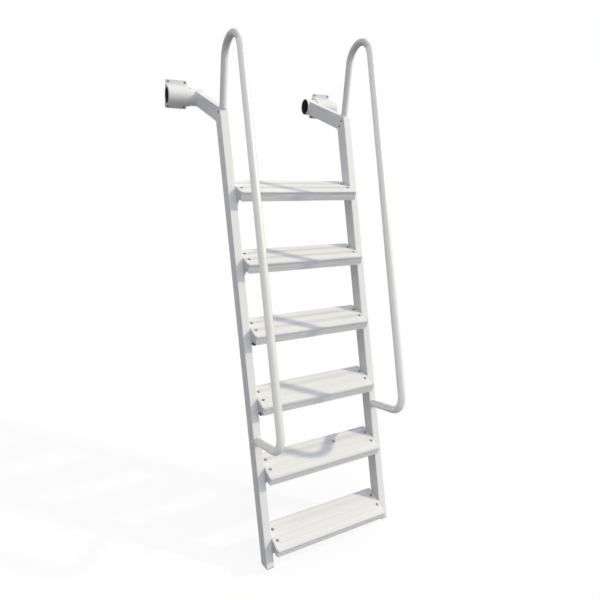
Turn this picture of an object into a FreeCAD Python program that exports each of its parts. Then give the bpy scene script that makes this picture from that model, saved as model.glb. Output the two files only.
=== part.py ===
import FreeCAD, Part
import math
import os
import Sketcher

# Dock ladder that swings up: two dock brackets hold round pivot tubes, and the
# tubes carry arms, sloping stiles, six wide treads and two bent handrails.
# Own frame: +Z up, +X along the treads to the right, +Y back to the dock.
# The origin is the centre of the left bracket's flat back face.

doc = FreeCAD.newDocument("dock_ladder")
sheet = doc.addObject("Spreadsheet::Sheet", "Sizes")

# Driving sizes, in millimetres, degrees and counts
cells = [
    ("tread_pitch", 254.0),
    ("tread_count", 6),
    ("last_drop", 9.6),
    ("stile_lean", 31.4),
    ("stile_gap", 565.0),
    ("stile_wide", 35.0),
    ("section_deep", 62.0),
    ("section_wall", 3.0),
    ("section_corner", 2.0),
    ("left_foot", 121.0),
    ("right_foot", 89.0),
    ("arm_top", 275.0),
    ("arm_reach", 371.0),
    ("cap_thick", 4.0),
    ("cap_inset", 0.5),
    ("tread_deep", 145.0),
    ("tread_front", 66.3),
    ("tread_skin", 4.0),
    ("groove_1", 11.5),
    ("groove_2", 38.0),
    ("groove_3", 69.0),
    ("groove_4", 92.0),
    ("groove_5", 118.0),
    ("groove_wide", 2.2),
    ("groove_deep", 1.4),
    ("nose_over", 2.2),
    ("nose_high", 5.5),
    ("nose_round", 1.5),
    ("lip_high", 41.5),
    ("lip_wall", 4.0),
    ("line_wide", 2.0),
    ("line_deep", 0.9),
    ("heel_high", 24.0),
    ("heel_wall", 4.0),
    ("end_plate", 5.5),
    ("end_toe", 8.0),
    ("end_drop", 38.0),
    ("end_knee", 23.0),
    ("end_waist", 33.0),
    ("end_fall", 40.0),
    ("end_rise", 84.0),
    ("end_low", 70.0),
    ("end_round", 3.0),
    ("end_back", 20.0),
    ("seat_wide", 34.0),
    ("seat_thick", 5.0),
    ("seat_toe", 34.0),
    ("tube_outer", 38.5),
    ("tube_wall", 2.6),
    ("tube_stub", 12.0),
    ("tube_out", 128.0),
    ("tube_play", 0.08),
    ("bracket_wide", 100.0),
    ("bracket_tall", 125.0),
    ("bracket_plate", 6.0),
    ("left_gap", 26.0),
    ("right_gap", 10.0),
    ("bracket_corner", 8.0),
    ("saddle_wall", 3.4),
    ("saddle_back", 4.4),
    ("hole_inset", 12.0),
    ("hole_edge", 8.5),
    ("hole_size", 3.5),
    ("rail_tube", 16.5),
    ("rail_bend", 80.0),
    ("rail_off", 233.0),
    ("rail_mid", 502.0),
    ("rail_low", 1029.0),
    ("rail_toe", 1.75),
    ("crook_tube", 15.0),
    ("crook_bend", 88.5),
    ("crook_slant", 22.0),
    ("joint_turn", 22.5),
    ("left_sink", 43.0),
]

# Sizes that follow from the driving sizes
follow = [
    ("lean_tan", "=tan(stile_lean * 1 deg)"),
    ("lean_cos", "=cos(stile_lean * 1 deg)"),
    ("slant_sin", "=sin(crook_slant * 1 deg)"),
    ("slant_cos", "=cos(crook_slant * 1 deg)"),
    ("half_gap", "=stile_gap / 2"),
    ("outer_half", "=half_gap + stile_wide"),
    ("last_level", "=(tread_count - 1) * tread_pitch + last_drop"),
    ("left_tail", "=last_level / lean_cos + left_foot"),
    ("right_tail", "=last_level / lean_cos + right_foot"),
    ("elbow_drop", "=section_deep * tan((90 - stile_lean) / 2 * 1 deg)"),
    ("elbow_front", "=arm_top / lean_cos"),
    ("elbow_back", "=elbow_front - elbow_drop"),
    ("elbow_over", "=elbow_front + section_deep"),
    ("inner_deep", "=section_deep - section_wall"),
    ("inner_wide", "=stile_wide - 2 * section_wall"),
    ("left_past", "=left_tail + section_deep"),
    ("right_past", "=right_tail + section_deep"),
    ("crook_past", "=rail_off + crook_bend"),
    ("axis_y", "=arm_top * lean_tan + arm_reach"),
    ("axis_z", "=arm_top - section_deep / 2"),
    ("axis_out", "=tube_outer + tube_play + saddle_back"),
    ("dock_y", "=axis_y + axis_out"),
    ("half_bracket", "=bracket_wide / 2"),
    ("half_tall", "=bracket_tall / 2"),
    ("half_plate", "=bracket_plate / 2"),
    ("left_mount", "=outer_half + left_gap + half_bracket"),
    ("right_mount", "=outer_half + right_gap + half_bracket"),
    ("half_deep", "=section_deep / 2"),
    ("half_inner", "=half_deep - section_wall"),
    ("arm_mitre", "=arm_reach - elbow_drop"),
    ("arm_past", "=arm_reach + section_deep"),
    ("cap_back", "=section_deep - cap_inset"),
    ("left_sole", "=left_tail + cap_thick"),
    ("right_sole", "=right_tail + cap_thick"),
    ("cap_wide", "=stile_wide - 2 * cap_inset"),
    ("tread_long", "=stile_gap - 2 * end_plate"),
    ("half_tread", "=tread_long / 2"),
    ("lip_back", "=nose_over + lip_wall"),
    ("line_in", "=nose_over + line_deep"),
    ("heel_face", "=tread_deep - heel_wall"),
    ("end_heel", "=tread_deep - end_back"),
    ("seat_low", "=tread_skin + seat_thick"),
    ("tube_inner", "=tube_outer - tube_wall"),
    ("left_tube", "=tube_out + stile_wide"),
    ("right_tube", "=left_tube + tube_stub"),
    ("bore_size", "=tube_outer + tube_play"),
    ("saddle_outer", "=bore_size + saddle_wall"),
    ("saddle_flank", "=axis_out - half_plate"),
    ("hole_x", "=half_bracket - hole_inset"),
    ("hole_z", "=half_tall - hole_edge"),
    ("rail_middle", "=half_gap + stile_wide / 2"),
    ("rail_run", "=rail_off - rail_bend"),
    ("crook_hub", "=rail_off - crook_bend"),
    ("crook_far", "=crook_hub - crook_bend * slant_cos"),
    ("right_mid", "=rail_mid"),
    ("left_mid", "=rail_mid - left_sink"),
    ("right_low", "=rail_low"),
    ("left_low", "=rail_low + left_sink"),
]

# Heights along the stile of each handrail's bends and joint
for hand in ("left", "right"):
    follow += [
        (hand + "_rise", "=%s_low - rail_bend" % hand),
        (hand + "_joint", "=%s_mid + crook_bend * sin(joint_turn * 1 deg)" % hand),
        (hand + "_drop", "=%s_mid + crook_bend * slant_sin" % hand),
    ]

# Five fine grooves along the tread's top, and three lines at even heights on its lip
TOP_GROOVES = (1, 2, 3, 4, 5)
for groove in TOP_GROOVES:
    follow += [
        ("groove_%d_front" % groove, "=groove_%d - groove_wide / 2" % groove),
        ("groove_%d_back" % groove, "=groove_%d + groove_wide / 2" % groove),
    ]
LIP_LINES = (1, 2, 3)
for line in LIP_LINES:
    follow += [
        ("line_%d_top" % line, "=lip_high * %d / 4 - line_wide / 2" % line),
        ("line_%d_low" % line, "=line_%d_top + line_wide" % line),
    ]


def fill_sheet():
    """Write every size with its alias, driving sizes first."""
    rows = [(alias, str(value)) for alias, value in cells] + follow
    for row, (alias, content) in enumerate(rows, 1):
        sheet.set("A%d" % row, alias.replace("_", " "))
        sheet.setAlias("B%d" % row, alias)
        sheet.set("B%d" % row, content)
    doc.recompute()


fill_sheet()


def size(name):
    """Number in the sheet for a name, which may carry a minus sign."""
    if name == "0":
        return 0.0
    if name.startswith("-"):
        return -size(name[1:])
    value = getattr(sheet, name)
    return float(getattr(value, "Value", value))


def bound(name):
    """Expression for a name, which may carry a minus sign."""
    if name.startswith("-"):
        return "-Sizes." + name[1:]
    return "Sizes." + name


ACROSS = FreeCAD.Vector(1, 0, 0)
UPRIGHT = FreeCAD.Vector(0, 1, 0)
UPWARD = FreeCAD.Vector(0, 0, 1)
THIN = 0.01


def point(across, up):
    return FreeCAD.Vector(size(across), size(up), 0)


def new_body(label):
    body = doc.addObject("PartDesign::Body", label)
    body.Label = label
    doc.recompute()
    return body


def new_sketch(body, name, role, shift=None):
    """Sketch on an origin plane of the body, moved along the plane's normal."""
    sketch = body.newObject("Sketcher::SketchObject", name)
    for item in body.Origin.OriginFeatures:
        if getattr(item, "Role", "") == role:
            sketch.AttachmentSupport = [(item, "")]
    sketch.MapMode = "FlatFace"
    if shift is not None:
        sketch.AttachmentOffset = FreeCAD.Placement(
            FreeCAD.Vector(0, 0, size(shift)), FreeCAD.Rotation())
        sketch.setExpression("AttachmentOffset.Base.z", bound(shift))
    doc.recompute()
    return sketch


def dimension(sketch, kind, *ends, name):
    """Constraint of a sketch that is tied to a size of the sheet."""
    index = sketch.addConstraint(Sketcher.Constraint(kind, *ends, size(name)))
    sketch.setExpression("Constraints[%d]" % index, bound(name))


def pin(sketch, geo, end, across, up):
    """Hold a point at two sizes from the sketch's origin."""
    if across == "0":
        sketch.addConstraint(Sketcher.Constraint("PointOnObject", geo, end, -2))
    else:
        dimension(sketch, "DistanceX", -1, 1, geo, end, name=across)
    if up == "0":
        sketch.addConstraint(Sketcher.Constraint("PointOnObject", geo, end, -1))
    else:
        dimension(sketch, "DistanceY", -1, 1, geo, end, name=up)


def add_line(sketch, start, end):
    return sketch.addGeometry(Part.LineSegment(start, end), False)


def add_arc(sketch, centre, radius, start, end):
    ring = Part.Circle(centre, FreeCAD.Vector(0, 0, 1), radius)
    return sketch.addGeometry(Part.ArcOfCircle(ring, start, end), False)


def polygon(sketch, corners):
    """Closed outline through named corners, added to what the sketch has."""
    first = sketch.GeometryCount
    count = len(corners)
    for i in range(count):
        add_line(sketch, point(*corners[i]), point(*corners[(i + 1) % count]))
    for i in range(count):
        sketch.addConstraint(Sketcher.Constraint(
            "Coincident", first + i, 2, first + (i + 1) % count, 1))
        pin(sketch, first + i, 1, *corners[i])


def box_lines(sketch, left, right, low, high):
    """Rectangle between four named sizes."""
    polygon(sketch, [(left, low), (right, low), (right, high), (left, high)])


def circle(sketch, across, up, radius):
    """Circle at a named place with a named radius."""
    ring = Part.Circle(point(across, up), FreeCAD.Vector(0, 0, 1), size(radius))
    geo = sketch.addGeometry(ring, False)
    if across == "0" and up == "0":
        sketch.addConstraint(Sketcher.Constraint("Coincident", geo, 3, -1, 1))
    else:
        pin(sketch, geo, 3, across, up)
    dimension(sketch, "Radius", geo, name=radius)


def pad(body, sketch, name, length):
    """Raise a sketch along its normal."""
    feature = body.newObject("PartDesign::Pad", name)
    feature.Profile = sketch
    feature.Length = size(length)
    feature.setExpression("Length", bound(length))
    doc.recompute()
    return feature


def sweep(body, ring, path, name, count):
    """Draw a round bar along the first edges of a path."""
    pipe = body.newObject("PartDesign::AdditivePipe", name)
    pipe.Profile = ring
    pipe.Spine = (path, ["Edge%d" % number for number in range(1, count + 1)])
    doc.recompute()


def round_edges(body, base, name, radius, chosen):
    """Round the edges of a feature that a test of their bounds picks out."""
    edges = []
    for number, edge in enumerate(body.Shape.Edges, 1):
        if chosen(edge.BoundBox):
            edges.append("Edge%d" % number)
    if not edges:
        raise RuntimeError(name + " finds no edge")
    fillet = body.newObject("PartDesign::Fillet", name)
    fillet.Base = (base, edges)
    fillet.Radius = size(radius)
    fillet.setExpression("Radius", bound(radius))
    doc.recompute()


def pocket(body, sketch, name, length, forward=False):
    """Cut a sketch away, against its normal or forward along it."""
    before = body.Shape.Volume
    feature = body.newObject("PartDesign::Pocket", name)
    feature.Profile = sketch
    feature.Reversed = forward
    feature.Length = size(length)
    feature.setExpression("Length", bound(length))
    doc.recompute()
    if body.Shape.Volume > before - 0.01:
        raise RuntimeError(name + " takes nothing away")
    return feature


def place(body, x, y, z, leaning=False, turned=0.0):
    """Move a body to its place; a leaning one has its own Z along the stiles."""
    turn = FreeCAD.Rotation()
    if leaning:
        turn = FreeCAD.Rotation(ACROSS, -size("stile_lean"))
    turn = turn * FreeCAD.Rotation(UPWARD, turned)
    body.Placement = FreeCAD.Placement(FreeCAD.Vector(0, 0, 0), turn)
    body.setExpression("Placement.Base.x", "Sizes.left_mount + " + x)
    body.setExpression("Placement.Base.y", y + " - Sizes.dock_y")
    body.setExpression("Placement.Base.z", z + " - Sizes.axis_z")
    doc.recompute()


# Dock bracket: a flat plate with four holes and a half-round saddle
def make_bracket(label, middle):
    body = new_body(label)
    plate = new_sketch(body, label + "_plate_lines", "XZ_Plane")
    box_lines(plate, "-half_bracket", "half_bracket", "-half_tall", "half_tall")
    flat = pad(body, plate, label + "_plate", "bracket_plate")
    round_edges(body, flat, label + "_corners", "bracket_corner",
                lambda box: box.XLength < THIN and box.ZLength < THIN)
    hump = new_sketch(body, label + "_saddle_lines", "YZ_Plane", "-half_bracket")
    arc = add_arc(hump, point("-axis_out", "0"), size("saddle_outer"),
                  math.pi / 2, math.pi * 3 / 2)
    under = add_line(hump, point("-axis_out", "-saddle_outer"),
                     point("-half_plate", "-saddle_outer"))
    behind = add_line(hump, point("-half_plate", "-saddle_outer"),
                      point("-half_plate", "saddle_outer"))
    over = add_line(hump, point("-half_plate", "saddle_outer"),
                    point("-axis_out", "saddle_outer"))
    hump.addConstraint(Sketcher.Constraint("Tangent", arc, 2, under, 1))
    hump.addConstraint(Sketcher.Constraint("Coincident", under, 2, behind, 1))
    hump.addConstraint(Sketcher.Constraint("Coincident", behind, 2, over, 1))
    hump.addConstraint(Sketcher.Constraint("Tangent", over, 2, arc, 1))
    hump.addConstraint(Sketcher.Constraint("Horizontal", under))
    hump.addConstraint(Sketcher.Constraint("Vertical", behind))
    pin(hump, arc, 3, "-axis_out", "0")
    dimension(hump, "Radius", arc, name="saddle_outer")
    dimension(hump, "DistanceX", over, 2, over, 1, name="saddle_flank")
    pad(body, hump, label + "_saddle", "bracket_wide")
    bore = new_sketch(body, label + "_bore_lines", "YZ_Plane", "half_bracket")
    circle(bore, "-axis_out", "0", "bore_size")
    pocket(body, bore, label + "_bore", "bracket_wide")
    holes = new_sketch(body, label + "_hole_lines", "XZ_Plane")
    for across in ("-hole_x", "hole_x"):
        for up in ("-hole_z", "hole_z"):
            circle(holes, across, up, "hole_size")
    pocket(body, holes, label + "_holes", "bracket_plate", forward=True)
    place(body, middle, "Sizes.dock_y", "Sizes.axis_z")


# Pivot tube: round and open, flush with the left arm but past the right one
def make_tube(hand, start):
    label = "pivot_tube_" + hand
    body = new_body(label)
    ring = new_sketch(body, label + "_lines", "YZ_Plane")
    circle(ring, "0", "0", "tube_outer")
    circle(ring, "0", "0", "tube_inner")
    pad(body, ring, label + "_ring", hand + "_tube")
    place(body, start, "Sizes.axis_y", "Sizes.axis_z")


# Arm: box section, mitred at the stile and coped round the pivot tube
def make_arm(label, near):
    body = new_body(label)
    side = new_sketch(body, label + "_side_lines", "YZ_Plane")
    polygon(side, [("-arm_reach", "half_deep"), ("-arm_mitre", "-half_deep"),
                   ("0", "-half_deep"), ("0", "half_deep")])
    bar = pad(body, side, label + "_side", "stile_wide")
    round_edges(body, bar, label + "_corners", "section_corner",
                lambda box: box.XLength < THIN and box.ZLength < THIN)
    hollow = new_sketch(body, label + "_hollow_lines", "YZ_Plane", "section_wall")
    box_lines(hollow, "-arm_past", "half_deep", "-half_inner", "half_inner")
    pocket(body, hollow, label + "_hollow", "inner_wide", forward=True)
    mouth = new_sketch(body, label + "_mouth_lines", "YZ_Plane", "stile_wide")
    circle(mouth, "0", "0", "tube_outer")
    pocket(body, mouth, label + "_mouth", "stile_wide")
    place(body, near, "Sizes.axis_y", "Sizes.axis_z")


# Stile: box section, mitred at the top and square at the bottom
def make_stile(hand, near):
    label = "stile_" + hand
    tail = "-" + hand + "_tail"
    body = new_body(label)
    side = new_sketch(body, label + "_side_lines", "YZ_Plane")
    polygon(side, [("0", tail), ("section_deep", tail),
                   ("section_deep", "elbow_back"), ("0", "elbow_front")])
    bar = pad(body, side, label + "_side", "stile_wide")
    round_edges(body, bar, label + "_corners", "section_corner",
                lambda box: box.XLength < THIN and box.YLength < THIN)
    hollow = new_sketch(body, label + "_hollow_lines", "YZ_Plane", "section_wall")
    box_lines(hollow, "section_wall", "inner_deep", "-" + hand + "_past",
              "elbow_over")
    pocket(body, hollow, label + "_hollow", "inner_wide", forward=True)
    place(body, near, "0", "0", leaning=True)


# Foot cap: a block that closes the bottom of a stile
def make_cap(hand, near):
    label = "foot_cap_" + hand
    body = new_body(label)
    lines = new_sketch(body, label + "_lines", "YZ_Plane", "cap_inset")
    box_lines(lines, "cap_inset", "cap_back", "-" + hand + "_sole",
              "-" + hand + "_tail")
    pad(body, lines, label + "_block", "cap_wide")
    place(body, near, "0", "0", leaning=True)


def tread_level(number):
    """Expression for the height of a tread's top, below the first one."""
    if number == int(size("tread_count")):
        return "-Sizes.last_level"
    return "(%d) * Sizes.tread_pitch" % (1 - number)


def tread_setback(number):
    """Expression for the place of a tread's front edge."""
    return tread_level(number) + " * Sizes.lean_tan - Sizes.tread_front"


# Tread: one drawn section with a nose over its front lip and a back heel
def make_tread(number):
    label = "tread_%d" % number
    body = new_body(label)
    lines = new_sketch(body, label + "_lines", "YZ_Plane", "-half_tread")
    polygon(lines, [("0", "0"), ("tread_deep", "0"), ("tread_deep", "-heel_high"),
                    ("heel_face", "-heel_high"), ("heel_face", "-tread_skin"),
                    ("lip_back", "-tread_skin"), ("lip_back", "-lip_high"),
                    ("nose_over", "-lip_high"), ("nose_over", "-nose_high"),
                    ("0", "-nose_high")])
    section = pad(body, lines, label + "_section", "tread_long")
    round_edges(body, section, label + "_nose", "nose_round",
                lambda box: box.YMax < THIN and box.ZMin > -THIN)
    marks = new_sketch(body, label + "_groove_lines", "YZ_Plane", "-half_tread")
    for groove in TOP_GROOVES:
        polygon(marks, [("groove_%d_front" % groove, "0"),
                        ("groove_%d" % groove, "-groove_deep"),
                        ("groove_%d_back" % groove, "0")])
    for line in LIP_LINES:
        polygon(marks, [("nose_over", "-line_%d_low" % line),
                        ("line_in", "-line_%d_low" % line),
                        ("line_in", "-line_%d_top" % line),
                        ("nose_over", "-line_%d_top" % line)])
    pocket(body, marks, label + "_grooves", "tread_long", forward=True)
    place(body, "0", tread_setback(number), tread_level(number))


# Tread bracket: an end plate on the stile and a seat under the tread
def make_end(number, hand):
    label = "tread_bracket_%s_%d" % (hand, number)
    body = new_body(label)
    lines = new_sketch(body, label + "_plate_lines", "YZ_Plane")
    polygon(lines, [("end_toe", "0"), ("end_heel", "0"), ("end_heel", "-heel_high"),
                    ("end_rise", "-end_low"), ("end_fall", "-end_low"),
                    ("end_knee", "-end_waist"), ("end_toe", "-end_drop")])
    flat = pad(body, lines, label + "_plate", "end_plate")
    floor = THIN - size("end_low")
    round_edges(body, flat, label + "_rounds", "end_round",
                lambda box: box.YLength < THIN and box.ZMax < floor)
    inward = "end_plate" if hand == "left" else "-seat_wide"
    seat = new_sketch(body, label + "_seat_lines", "YZ_Plane", inward)
    box_lines(seat, "seat_toe", "end_heel", "-seat_low", "-tread_skin")
    pad(body, seat, label + "_seat", "seat_wide")
    near = "-Sizes.half_gap"
    if hand == "right":
        near = "Sizes.half_gap - Sizes.end_plate"
    place(body, near, tread_setback(number), tread_level(number))


def trim_turned(body, label, up, turned, lean):
    """Sketch across the body's middle plane, turned back level with the stiles."""
    trim = new_sketch(body, label, "YZ_Plane")
    square = FreeCAD.Rotation(UPRIGHT, -turned)
    shift = square.multVec(FreeCAD.Vector(0, 0, -size("stile_wide")))
    shift = shift + FreeCAD.Vector(0, size(up), 0)
    trim.AttachmentOffset = FreeCAD.Placement(
        shift, square * FreeCAD.Rotation(UPWARD, lean))
    trim.setExpression("AttachmentOffset.Base.y", bound(up))
    return trim


# Handrail: one bent tube from the stile to the arm, thicker up to its joint
def make_rail(hand, middle, turned):
    label = "handrail_" + hand
    body = new_body(label)
    low = "-" + hand + "_low"
    rise = "-" + hand + "_rise"
    mid = hand + "_mid"
    drop = hand + "_drop"
    slant = math.radians(size("crook_slant"))
    joint = math.pi - math.radians(size("joint_turn"))
    path = new_sketch(body, label + "_path", "YZ_Plane")
    foot = add_line(path, point("half_deep", low), point("-rail_run", low))
    bend = add_arc(path, point("-rail_run", rise), size("rail_bend"),
                   math.pi, math.pi * 3 / 2)
    leg = add_line(path, point("-rail_off", rise), point("-rail_off", mid))
    turn = add_arc(path, point("-crook_hub", mid), size("crook_bend"), joint, math.pi)
    crook = add_arc(path, point("-crook_hub", mid), size("crook_bend"), slant, joint)
    end = point("-crook_far", drop) + FreeCAD.Vector(
        math.sin(slant), -math.cos(slant), 0) * size("crook_past")
    fall = add_line(path, point("-crook_far", drop), end)
    path.addConstraint(Sketcher.Constraint("Tangent", foot, 2, bend, 2))
    path.addConstraint(Sketcher.Constraint("Tangent", bend, 1, leg, 1))
    path.addConstraint(Sketcher.Constraint("Tangent", leg, 2, turn, 2))
    path.addConstraint(Sketcher.Constraint("Coincident", turn, 1, crook, 2))
    path.addConstraint(Sketcher.Constraint("Coincident", turn, 3, crook, 3))
    path.addConstraint(Sketcher.Constraint("Tangent", crook, 1, fall, 1))
    path.addConstraint(Sketcher.Constraint("Horizontal", foot))
    path.addConstraint(Sketcher.Constraint("Vertical", leg))
    pin(path, foot, 1, "half_deep", low)
    pin(path, leg, 2, "-rail_off", mid)
    dimension(path, "Radius", bend, name="rail_bend")
    dimension(path, "Radius", turn, name="crook_bend")
    dimension(path, "DistanceY", -1, 1, turn, 1, name=hand + "_joint")
    dimension(path, "DistanceX", -1, 1, crook, 1, name="-crook_far")
    dimension(path, "Distance", fall, 1, fall, 2, name="crook_past")
    for part, radius, edges in (("tube", "crook_tube", 6), ("sleeve", "rail_tube", 4)):
        ring = new_sketch(body, label + "_" + part + "_ring", "XZ_Plane", "-half_deep")
        circle(ring, "0", low, radius)
        sweep(body, ring, path, label + "_" + part, edges)
    level = trim_turned(body, label + "_foot_lines", low, turned, 0)
    box_lines(level, "0", "section_deep", "-rail_bend", "rail_bend")
    pocket(body, level, label + "_foot", "section_deep", forward=True)
    level = trim_turned(body, label + "_end_lines", "elbow_front", turned,
                        size("stile_lean"))
    box_lines(level, "-section_deep", "arm_reach", "-arm_reach", "0")
    pocket(body, level, label + "_end", "arm_reach", forward=True)
    place(body, middle, "0", "0", leaning=True, turned=turned)


make_bracket("bracket_left", "-Sizes.left_mount")
make_bracket("bracket_right", "Sizes.right_mount")
make_tube("left", "-Sizes.outer_half - Sizes.tube_out")
make_tube("right", "Sizes.half_gap - Sizes.tube_stub")
for hand, near in (("left", "-Sizes.outer_half"), ("right", "Sizes.half_gap")):
    make_arm("arm_" + hand, near)
    make_stile(hand, near)
    make_cap(hand, near)
for step in range(1, int(size("tread_count")) + 1):
    make_tread(step)
    make_end(step, "left")
    make_end(step, "right")
toe = size("rail_toe")
for hand, middle, turned in (("left", "-Sizes.rail_middle", toe),
                             ("right", "Sizes.rail_middle", -toe)):
    make_rail(hand, middle, turned)

doc.recompute()
for item in doc.Objects:
    if "Invalid" in item.State or "Error" in item.State:
        raise RuntimeError("%s: %s" % (item.Name, item.State))
os.makedirs("parts", exist_ok=True)
for item in doc.Objects:
    if item.TypeId != "PartDesign::Body":
        continue
    shape = item.Shape
    if shape.isNull() or not shape.isValid():
        raise RuntimeError(item.Label + " has no valid shape")
    shape.exportStep("parts/%s.step" % item.Label)
    print("%s %.0f mm3" % (item.Label, shape.Volume))
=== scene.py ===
import logging
import math
from dataclasses import dataclass, field
from enum import Enum

import bmesh
import bpy
from mathutils import Matrix, Vector


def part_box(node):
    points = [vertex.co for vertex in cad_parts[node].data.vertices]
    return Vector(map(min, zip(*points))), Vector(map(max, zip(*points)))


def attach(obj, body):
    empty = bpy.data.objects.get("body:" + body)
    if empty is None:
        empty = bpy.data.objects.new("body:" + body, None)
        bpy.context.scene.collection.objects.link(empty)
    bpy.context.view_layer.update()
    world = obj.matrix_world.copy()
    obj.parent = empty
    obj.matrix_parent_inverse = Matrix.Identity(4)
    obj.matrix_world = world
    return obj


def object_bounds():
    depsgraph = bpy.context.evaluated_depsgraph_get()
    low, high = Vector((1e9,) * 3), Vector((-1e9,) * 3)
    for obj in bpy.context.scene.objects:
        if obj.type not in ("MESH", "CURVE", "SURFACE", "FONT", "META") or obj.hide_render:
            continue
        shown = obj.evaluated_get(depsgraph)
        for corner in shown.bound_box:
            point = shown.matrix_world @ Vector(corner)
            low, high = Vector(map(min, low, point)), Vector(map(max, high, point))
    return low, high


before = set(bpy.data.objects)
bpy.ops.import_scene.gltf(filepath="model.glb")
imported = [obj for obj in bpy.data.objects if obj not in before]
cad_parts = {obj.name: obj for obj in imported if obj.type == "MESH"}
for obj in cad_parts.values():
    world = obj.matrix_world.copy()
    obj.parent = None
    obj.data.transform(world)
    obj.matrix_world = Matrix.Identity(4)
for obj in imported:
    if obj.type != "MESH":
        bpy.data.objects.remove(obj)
CAD_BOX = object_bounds()

LOG = logging.getLogger("dock_ladder")
LADDER = "ladder"
BRACKETS = "dock_brackets"
TREADS = (1, 2, 3, 4, 5, 6)

UP = Vector((0.0, 0.0, 1.0))
WHITE = (1.0, 1.0, 1.0, 1.0)

Triple = tuple[float, float, float]
Colour = Triple
Span = tuple[float, float]
Profile = list[tuple[float, float]]
Socket = bpy.types.NodeSocket
Material = bpy.types.Material


class Hand(Enum):
    """The two sides of the ladder, with the sign of each along X."""

    LEFT = -1
    RIGHT = 1

    @property
    def word(self) -> str:
        """Side's word in node names."""
        return self.name.lower()


class Slot(Enum):
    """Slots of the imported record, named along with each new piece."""

    STILE = "stile_paint"
    PLATE = "end_bracket"
    CAP = "cap_plastic"


# Finishes


class Nodes:
    """Short hand for laying out nodes in a tree."""

    def __init__(self, owner: "Material | bpy.types.World") -> None:
        """Take the tree of a material or of a world."""
        owner.use_nodes = True
        self.tree = owner.node_tree

    def add(self, kind: str, **values: object) -> bpy.types.Node:
        """Add a node and set its properties or its inputs by name.

        Args:
            kind: Node type without its ShaderNode start.
            values: Properties, or inputs with spaces written as underscores.

        Returns:
            The new node.
        """
        node = self.tree.nodes.new("ShaderNode" + kind)
        for key, value in values.items():
            if hasattr(node, key):
                setattr(node, key, value)
            else:
                node.inputs[key.replace("_", " ")].default_value = value
        return node

    def link(self, source: Socket, target: Socket) -> None:
        """Join an output to an input."""
        self.tree.links.new(source, target)

    def math(self, kind: str, first: Socket, second: "Socket | float" = 0.0) -> Socket:
        """Join two values by a Math node.

        Args:
            kind: Operation of the node.
            first: First value.
            second: Second value, a socket or a number.

        Returns:
            The result.
        """
        node = self.add("Math", operation=kind)
        self.link(first, node.inputs[0])
        if isinstance(second, float):
            node.inputs[1].default_value = second
        else:
            self.link(second, node.inputs[1])
        return node.outputs["Value"]

    def times(self, first: Socket, second: "Socket | float") -> Socket:
        """Product of two values."""
        return self.math("MULTIPLY", first, second)

    def total(self, parts: list[Socket]) -> Socket:
        """Add values together.

        Args:
            parts: Values to add.

        Returns:
            Their sum.
        """
        result = parts[0]
        for part in parts[1:]:
            result = self.math("ADD", result, part)
        return result

    def seen(self) -> Socket:
        """Tell rays that show the scene from rays that light it.

        Returns:
            One where a ray comes from the camera, a reflection or glass.
        """
        path = self.add("LightPath")
        result = path.outputs["Is Camera Ray"]
        for name in ("Is Glossy Ray", "Is Transmission Ray"):
            result = self.math("MAXIMUM", result, path.outputs[name])
        return result


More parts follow.
